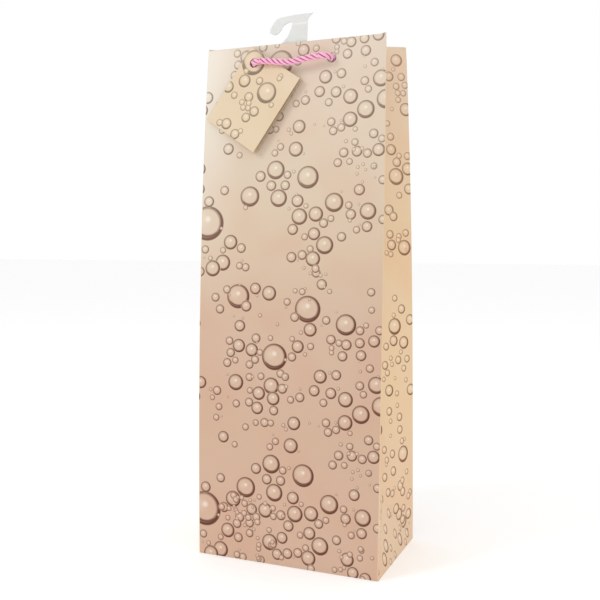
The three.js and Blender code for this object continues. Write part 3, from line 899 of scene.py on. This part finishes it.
STIFFENER = 0.6
STIFFENER_HALF_WIDTH = 57
STIFFENER_DEPTH = 33
STIFFENER_BELOW_TOP = 1
STIFFENER_INWARD = 0.8
stiffener_bottom = WALL_LENGTH - STIFFENER_BELOW_TOP - STIFFENER_DEPTH
stiffener_corners = [(-1, 0), (1, 0), (1, 1), (-1, 1)]
stiffener_outline = [
    (x * STIFFENER_HALF_WIDTH, stiffener_bottom + y * STIFFENER_DEPTH) for x, y in stiffener_corners
]
for wall, run in [("front", 0), ("back", ARTWORK_RUN)]:

    def place_wall(across, along, wall=wall):
        height, depth = turned_in(along, HEM_STARTS, HEM_FOLD)
        return on_wall(wall, across, height, depth)

    def place_stiffener(across, height, wall=wall):
        return on_wall(wall, across, height, STIFFENER_INWARD)

    panel = paper_piece(
        f"{wall}_wall_paper",
        [front_print, plain_paper],
        wall_outline,
        place_wall,
        PAPER,
        run=run,
        holes=rope_holes,
        bubbles=sheet_bubbles,
        creases=turned_creases(HEM_STARTS, HEM_FOLD, -wall_edge, wall_edge),
    )
    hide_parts(f"{wall}_panel", f"{wall}_hem")
    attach(panel, f"{wall}_wall")

    stiffener = paper_piece(
        f"{wall}_stiffener_card",
        [grey_board, grey_board],
        stiffener_outline,
        place_stiffener,
        STIFFENER,
        holes=[(sign * ROPE_HOLE_X, HOLE_HEIGHT, ROPE_HOLE_RADIUS) for sign in (-1, 1)],
    )
    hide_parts(f"{wall}_stiffener")
    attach(stiffener, f"{wall}_wall")

# The glue flap that closes the sheet into a tube, inside the back wall below its turned-in top
SEAM_FLAP_INWARD = 0.5
SEAM_FLAP_CORNERS = [(44, 6), (58, 6), (58, 308), (44, 308)]
seam_flap = paper_piece(
    "side_seam_glue_flap",
    [plain_paper, plain_paper],
    SEAM_FLAP_CORNERS,
    lambda across, height: on_wall("back", across, height, SEAM_FLAP_INWARD),
    PAPER,
)
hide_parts("side_seam_flap")
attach(seam_flap, "back_wall")

# ---- Folded sides
# Each side is creased up its middle and across its foot, so it folds inward as the mouth is drawn
# together. Below the creases that run to the base corners it is one flat triangle.
APEX = HALF_DEPTH / (1 + math.tan(WALL_LEAN))
SIDE_FOLD_RADIUS = 0.5  # of the turned top edge
SIDE_HEM_STARTS = BAG_HEIGHT - SIDE_FOLD_RADIUS
SIDE_HEM_ENDS = SIDE_HEM_STARTS + math.pi * SIDE_FOLD_RADIUS + HEM_DEPTH - SIDE_FOLD_RADIUS
FOLD_LENGTH = 1.0  # of sheet in the rounded fold beside each broad wall
SIDE_STEP = 7  # from row to row of the mesh
FULL_HALF = HALF_DEPTH - FOLD_RADIUS + FOLD_LENGTH
HALF_FOOT = 0.6
SIDE_HEM_LEFT = 6
CREASE_GAP = 0.8  # between the two halves' turned-in parts
TRIANGLE_SIDE_GAP = 0.25
TRIANGLE_FOOT_GAP = 0.1
TRIANGLE_TOP_GAP = 0.15
FOLDS = {"front": 0, "back": 2}  # where side_folds gives each wall's fold


def side_folds(sign, z):
    """Front fold, middle crease and back fold of a side, at a height."""
    rise = min(z / BAG_HEIGHT, 1)
    front_y = -HALF_DEPTH + drawn_in("front", sign * HALF_WIDTH, rise)
    back_y = HALF_DEPTH - drawn_in("back", -sign * HALF_WIDTH, rise)
    half_gap = (back_y - front_y) / 2
    inset = math.sqrt(max(HALF_DEPTH**2 - half_gap**2, 0))
    x = sign * HALF_WIDTH
    crease = Vector((x - sign * inset, (front_y + back_y) / 2, z))
    return Vector((x, front_y, z)), crease, Vector((x, back_y, z))


def on_side(sign, half, across, z):
    """A point on half a side; across is from its wall's fold towards the middle crease."""
    folds = side_folds(sign, z)
    fold = folds[FOLDS[half]]
    crease = folds[1]
    towards_wall = Vector((sign, 0, 0))
    if z < APEX:
        apex = side_folds(sign, APEX)[1]
        corner = Vector((sign * HALF_WIDTH, fold.y / abs(fold.y) * HALF_DEPTH, 0))
        crease = corner.lerp(apex, max(z, 0) / APEX)
        width = max(FULL_HALF * max(z, 0) / APEX, FOLD_LENGTH + 0.01)
    else:
        width = FULL_HALF
    inward = (crease - fold).normalized() if (crease - fold).length > 1e-6 else -towards_wall
    landing = fold + inward * FOLD_RADIUS
    if across < FOLD_LENGTH:
        start = fold - towards_wall * FOLD_RADIUS
        share = max(across, 0) / FOLD_LENGTH
        return start.lerp(fold, share).lerp(fold.lerp(landing, share), share)
    return landing.lerp(crease, (across - FOLD_LENGTH) / (width - FOLD_LENGTH))


SIDE_RUNS = {  # where each half starts on the whole sheet, and which way across runs there
    ("right", "front"): (wall_edge, 1),
    ("right", "back"): (wall_edge + 2 * FULL_HALF, -1),
    ("left", "front"): (-wall_edge, -1),
    ("left", "back"): (-wall_edge - 2 * FULL_HALF, 1),
}
half_outline = [
    (0, CUT_GAP),
    (HALF_FOOT, CUT_GAP),
    (FULL_HALF, APEX),
    (FULL_HALF, BAG_HEIGHT + CUT_GAP),
    (FULL_HALF - CREASE_GAP, BAG_HEIGHT + 1),
    (FULL_HALF - CREASE_GAP, SIDE_HEM_ENDS),
    (SIDE_HEM_LEFT, SIDE_HEM_ENDS),
    (SIDE_HEM_LEFT, BAG_HEIGHT + 1),
    (0, BAG_HEIGHT + CUT_GAP),
]
# The sides carry their own bubbles, and none that are centred on a broad wall
side_bubbles = [bubble for bubble in sheet_bubbles if 0 < abs(bubble[0]) - HALF_WIDTH < BAG_DEPTH]
for side, sign in SIDES:
    for half in ("front", "back"):
        run, way = SIDE_RUNS[side, half]

        def place_half(across, along, sign=sign, half=half, way=way):
            z, depth = turned_in(along, SIDE_HEM_STARTS, SIDE_FOLD_RADIUS)
            point = on_side(sign, half, across * way, z)
            if depth:
                folds = side_folds(sign, z)
                inward = (folds[1] - folds[FOLDS[half]]).cross(Vector((0, 0, 1))).normalized()
                point += inward * depth * (-1 if inward.x * sign > 0 else 1)
            return point

        panel = paper_piece(
            f"{side}_side_{half}_half_paper",
            [side_print, plain_paper],
            [(across * way, along) for across, along in half_outline],
            place_half,
            PAPER,
            run=run,
            bubbles=side_bubbles,
            creases=turned_creases(SIDE_HEM_STARTS, SIDE_FOLD_RADIUS, 0, way * FULL_HALF)
            + [
                ((way * share, z), (way * share, z + SIDE_STEP))
                for share in (0.25, 0.5, 0.75, FOLD_LENGTH)
                for z in range(0, BAG_HEIGHT, SIDE_STEP)
            ],
            step=SIDE_STEP,
        )
        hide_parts(f"{side}_gusset_{half}_half", f"{side}_gusset_{half}_hem")
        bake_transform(panel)

    def place_triangle(across, along, sign=sign):
        aside = Vector((0, across * sign, 0))
        foot = Vector((sign * HALF_WIDTH, 0, 0))
        apex = side_folds(sign, APEX)[1]
        return (foot + aside).lerp(apex + aside, along / APEX)

    triangle = paper_piece(
        f"{side}_side_foot_triangle",
        [side_print, plain_paper],
        [
            (-HALF_DEPTH + TRIANGLE_SIDE_GAP, TRIANGLE_FOOT_GAP),
            (HALF_DEPTH - TRIANGLE_SIDE_GAP, TRIANGLE_FOOT_GAP),
            (0, APEX - TRIANGLE_TOP_GAP),
        ],
        place_triangle,
        PAPER,
        run=sign * (HALF_WIDTH + HALF_DEPTH),
        bubbles=side_bubbles,
    )
    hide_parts(f"{side}_gusset_triangle")
    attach(triangle, "root")

# ---- Base
# The sheet's bottom flaps are folded in over each other and glued, and a loose grey board lies on them.
# The flaps are flat and stay as cut; they get the print's ground colour, with a fibre mottle.
flap_print, tree, shader = new_material("laminated_print_flaps", Roughness=0.5, Specular_IOR_Level=0.35)
flap_place = add(tree, "ShaderNodeTexCoord").outputs["Object"]
flap_cloud = add(tree, "ShaderNodeTexNoise", {"Vector": flap_place, "Scale": 22.0, "Detail": 2.0})
flap_colours = {0: flap_cloud, 6: linear("d8b29b"), 7: linear("e6c8a6")}
flap_colour = add(tree, "ShaderNodeMix", flap_colours, data_type="RGBA").outputs[2]
tree.links.new(flap_colour, shader.inputs["Base Color"])
flap_grain = add(tree, "ShaderNodeTexNoise", {"Vector": flap_place, "Scale": 2500.0})
flap_bump = add(tree, "ShaderNodeBump", {"Height": flap_grain, "Strength": 0.12, "Distance": 0.00005})
tree.links.new(flap_bump.outputs[0], shader.inputs["Normal"])


def repaint(node, material):
    """Gives a carried-over CAD node its own material."""
    mesh = bpy.data.objects[node].data
    mesh.materials.clear()
    mesh.materials.append(material)


for flap in ("front", "back", "left", "right"):
    repaint(f"base_flap_{flap}", flap_print)
repaint("base_board", grey_board)

# ---- Gift tag
# A small card cut from the same artwork, folded once along its left side and threaded on the rope
# through both leaves. It hangs askew from its corner hole, lies on the wall and gapes a little.
TAG_LENGTH = 58
TAG_WIDTH = 44
TAG_CARD = 0.4
TAG_HOLE_INSET = 8
TAG_HOLE_RADIUS = 3.3
TAG_HANG = math.atan2(TAG_WIDTH / 2 - TAG_HOLE_INSET, TAG_LENGTH / 2 - TAG_HOLE_INSET)
TAG_FOLD = 0.75  # radius of the outside of the fold
TAG_GAPE = math.radians(2.8)
TAG_STAND_OFF = 0.9
TAG_TRIES = 10  # steps each way over the wall behind the tag
# radius: (across from the spine, up from the bottom edge)
TAG_BUBBLES = {
    8.8: [(7.5, 50)],
    7.3: [(28.5, 38)],
    4.6: [(9, 36.5)],
    4.2: [(0.5, 27)],
    4: [(14.5, 5.5)],
    3.6: [(24.5, 3), (28, 23)],
    3.5: [(18.5, 29)],
    3.4: [(25, 16.5)],
    2.8: [(19, 42)],
    2.6: [(9.5, 3.5), (8, 24.5)],
    2.2: [(21, 25.5), (22.5, 22.5), (16, 23.5), (-3, 21), (19, 21), (31, 52)],
    2: [(31, 50.5), (36.5, 33), (6, 42.5), (27, 7)],
}
tag_leaf_run = math.pi * TAG_FOLD
tag_bubbles = [(x, y, radius) for radius, places in TAG_BUBBLES.items() for x, y in places]


def tag_corner(across, up):
    """A point of the tag in the front wall's own across and height."""
    u = across - TAG_HOLE_INSET
    v = up - (TAG_LENGTH - TAG_HOLE_INSET)
    return (
        -ROPE_HOLE_X + u * math.cos(TAG_HANG) + v * math.sin(TAG_HANG),
        HOLE_HEIGHT - u * math.sin(TAG_HANG) + v * math.cos(TAG_HANG),
    )


# The tag's flat plane: along the bowed wall, then out until it touches nowhere
a, b, c, d = [
    on_wall("front", *tag_corner(u, v), 0)
    for u, v in [(0, 0), (TAG_WIDTH, 0), (TAG_WIDTH, TAG_LENGTH), (0, TAG_LENGTH)]
]
tag_across = ((b - a) + (c - d)).normalized()
tag_up = (d - a) + (c - b)
tag_up = (tag_up - tag_across * tag_up.dot(tag_across)).normalized()
tag_out = tag_across.cross(tag_up)
tag_hole = on_wall("front", -ROPE_HOLE_X, HOLE_HEIGHT, 0)
tag_origin = tag_hole - tag_across * TAG_HOLE_INSET - tag_up * (TAG_LENGTH - TAG_HOLE_INSET)
under_tag = [
    on_wall("front", *tag_corner(TAG_WIDTH * u / TAG_TRIES, TAG_LENGTH * v / TAG_TRIES), 0)
    for u in range(TAG_TRIES + 1)
    for v in range(TAG_TRIES + 1)
]
tag_origin += tag_out * (max((point - tag_origin).dot(tag_out) for point in under_tag) + TAG_STAND_OFF)


def place_tag(across, up):
    """The card's printed side: front leaf, half round the fold, then the back leaf facing the wall."""
    if across >= 0:
        aside = across * math.cos(TAG_GAPE)
        out = 2 * TAG_FOLD + across * math.sin(TAG_GAPE)
    elif across > -tag_leaf_run:
        angle = -across / TAG_FOLD
        aside = -TAG_FOLD * math.sin(angle)
        out = TAG_FOLD * (1 + math.cos(angle))
    else:
        aside = -across - tag_leaf_run
        out = 0
    return tag_origin + tag_across * aside + tag_up * up + tag_out * out


tag_print = printed_paper(
    "matt_card_print",
    [(0, "dcc7a9"), (30, "dac5a6"), (58, "dec9ac"), (350, "dec9ac")],
    "fdebd6",
    "664f38",
    0.85,
)
# Inside, the card is painted cream-tan: painted shade in the narrow gap between its leaves
tag_inside_painted_shade = uncoated_paper("uncoated_card_painted_shade", 0.8, 0.25, 700.0, ("dcc5a6", "cdb492"))

tag_hole_up = TAG_LENGTH - TAG_HOLE_INSET
tag_left = -tag_leaf_run - TAG_WIDTH
tag = paper_piece(
    "gift_tag",
    [tag_print, tag_inside_painted_shade],
    [(tag_left, 0), (TAG_WIDTH, 0), (TAG_WIDTH, TAG_LENGTH), (tag_left, TAG_LENGTH)],
    place_tag,
    TAG_CARD,
    holes=[
        (TAG_HOLE_INSET, tag_hole_up, TAG_HOLE_RADIUS),
        (-tag_leaf_run - TAG_HOLE_INSET, tag_hole_up, TAG_HOLE_RADIUS),
    ],
    bubbles=tag_bubbles,
    creases=[
        ((-tag_leaf_run * i / TURN_STEPS, 0), (-tag_leaf_run * i / TURN_STEPS, TAG_LENGTH))
        for i in range(TURN_STEPS + 1)
    ],
    step=6,
)
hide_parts("tag_back_leaf", "tag_front_leaf")
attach(tag, "tag")

# ---- Display hook
# A flat hook die-cut from milky plastic sheet, open to the left, scored across its stem, and held
# inside the front wall by a pad of tape.
HOOK_PLATE = 0.5
HOOK_TAB_DEPTH = 28
HOOK_TOP = 19.4
HOOK_INWARD = 3.1
HOOK_SCORE = 13.2  # above the top edge
HOOK_SCORE_DEPTH = 0.08
HOOK_SCORE_REACH = 0.5
HOOK_WHITE_REACH = 1.2  # of the whitened plastic beside the score
HOOK_STEM_LEFT = -2.8
PAD_THICKNESS = 0.3
PAD_INWARD = 2.5
PAD_LEFT = -9
PAD_RIGHT = 5.4
PAD_BOTTOM = 3 - HOOK_TAB_DEPTH
PAD_TOP = -4
CURVE_STEPS = 10


def bezier(points):
    """Points along a cubic curve, without its first one."""
    p0, p1, p2, p3 = [Vector(p) for p in points]
    shares = [i / CURVE_STEPS for i in range(1, CURVE_STEPS + 1)]
    return [
        tuple(p0 * (1 - t) ** 3 + p1 * 3 * t * (1 - t) ** 2 + p2 * 3 * t * t * (1 - t) + p3 * t**3)
        for t in shares
    ]


hook_outline = [(8.4, -HOOK_TAB_DEPTH), (8.4, 12.4)]
hook_outline += bezier([(8.4, 12.4), (8.4, 15.6), (9.4, 17.6), (12.6, HOOK_TOP)])
hook_outline += bezier([(12.6, HOOK_TOP), (2, HOOK_TOP), (-7, 19.2), (-12.6, 18)])
hook_outline += bezier([(-12.6, 18), (-15, 17.6), (-16.6, 15), (-18.4, 12)])
hook_outline += bezier([(-18.4, 12), (-19.6, 10.4), (-19.6, 8.4), (-17, 7.4)])
hook_outline += bezier([(-17, 7.4), (-14.2, 6.4), (-12, 8), (-10.6, 10.4)])
hook_outline += bezier([(-10.6, 10.4), (-9.3, 13), (-7, 14.6), (-2.4, 14.8)])
hook_outline += [(-3.2, 11.2)]
hook_outline += bezier([(-3.2, 11.2), (-4.4, 6), (-8, 1.5), (-12, 0)])
hook_outline += [(-12, -HOOK_TAB_DEPTH)]


def place_hook(across, above):
    """The plate is flat, apart from a shallow score across the stem."""
    on_stem = 1 if across > HOOK_STEM_LEFT else 0
    off_score = (above - HOOK_SCORE) / HOOK_SCORE_REACH
    score = HOOK_SCORE_DEPTH * on_stem * math.exp(-(off_score**2))
    return on_wall("front", across, WALL_LENGTH + above, HOOK_INWARD + score)


# Milky polypropylene sheet, calendered: smooth and waxy, lets some light through, and whitens where
# it is bent
hook_plastic, tree, shader = new_material(
    "milky_polypropylene",
    Roughness=0.32,
    Transmission_Weight=0.1,
    IOR=1.49,
    Subsurface_Weight=0.2,
    Subsurface_Scale=0.002,
)
hook_place = add(tree, "ShaderNodeTexCoord").outputs["Object"]
haze = add(tree, "ShaderNodeTexNoise", {"Vector": hook_place, "Scale": 130.0, "Detail": 3.0})
on_plate = add(tree, "ShaderNodeSeparateXYZ", {0: add(tree, "ShaderNodeUVMap", uv_map="sheet")})
score_place = {0: on_plate.outputs[1], 1: HOOK_SCORE / SHEET_UNIT}
score_off = add(tree, "ShaderNodeMath", score_place, operation="SUBTRACT")
score_size = add(tree, "ShaderNodeMath", {0: score_off}, operation="ABSOLUTE")
white_range = {"Value": score_size, "From Max": HOOK_WHITE_REACH / SHEET_UNIT, "To Min": 1.0, "To Max": 0.0}
whitened = add(tree, "ShaderNodeMapRange", white_range, interpolation_type="SMOOTHSTEP")
stem_place = {0: on_plate.outputs[0], 1: HOOK_STEM_LEFT / SHEET_UNIT}
stem = add(tree, "ShaderNodeMath", stem_place, operation="GREATER_THAN")
whitened = add(tree, "ShaderNodeMath", {0: whitened, 1: stem}, operation="MULTIPLY")
milky = add(tree, "ShaderNodeMix", {0: haze, 6: linear("dcdfdc"), 7: linear("e6e8e5")}, data_type="RGBA")
hook_mix = {0: whitened, 6: milky.outputs[2], 7: linear("eceeeb")}
hook_colour = add(tree, "ShaderNodeMix", hook_mix, data_type="RGBA").outputs[2]
tree.links.new(hook_colour, shader.inputs["Base Color"])
hook_bump = add(tree, "ShaderNodeBump", {"Height": haze, "Strength": 0.1, "Distance": 0.0003})
tree.links.new(hook_bump.outputs[0], shader.inputs["Normal"])

hook = paper_piece(
    "display_hook",
    [hook_plastic, hook_plastic],
    hook_outline,
    place_hook,
    HOOK_PLATE,
    creases=[((-20, HOOK_SCORE + off), (13, HOOK_SCORE + off)) for off in (-1, -0.5, 0, 0.5, 1)],
)
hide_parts("hang_hook")
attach(hook, "front_wall")

# Double-sided tape: an off-white foam pad, matt, with fine cells
foam, tree, shader = new_material("foam_tape", Roughness=0.9)
foam_place = add(tree, "ShaderNodeTexCoord").outputs["Object"]
cells = add(tree, "ShaderNodeTexVoronoi", {"Vector": foam_place, "Scale": 1500.0})
foam_colours = {0: cells, 6: linear("f2f0e8"), 7: linear("dedbd0")}
foam_colour = add(tree, "ShaderNodeMix", foam_colours, data_type="RGBA").outputs[2]
tree.links.new(foam_colour, shader.inputs["Base Color"])
foam_bump = add(tree, "ShaderNodeBump", {"Height": cells, "Strength": 0.3, "Distance": 0.0002})
tree.links.new(foam_bump.outputs[0], shader.inputs["Normal"])
pad = paper_piece(
    "hook_tape",
    [foam, foam],
    [(PAD_LEFT, PAD_BOTTOM), (PAD_RIGHT, PAD_BOTTOM), (PAD_RIGHT, PAD_TOP), (PAD_LEFT, PAD_TOP)],
    lambda across, above: on_wall("front", across, WALL_LENGTH + above, PAD_INWARD),
    PAD_THICKNESS,
)
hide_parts("hook_tape_pad")
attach(pad, "front_wall")
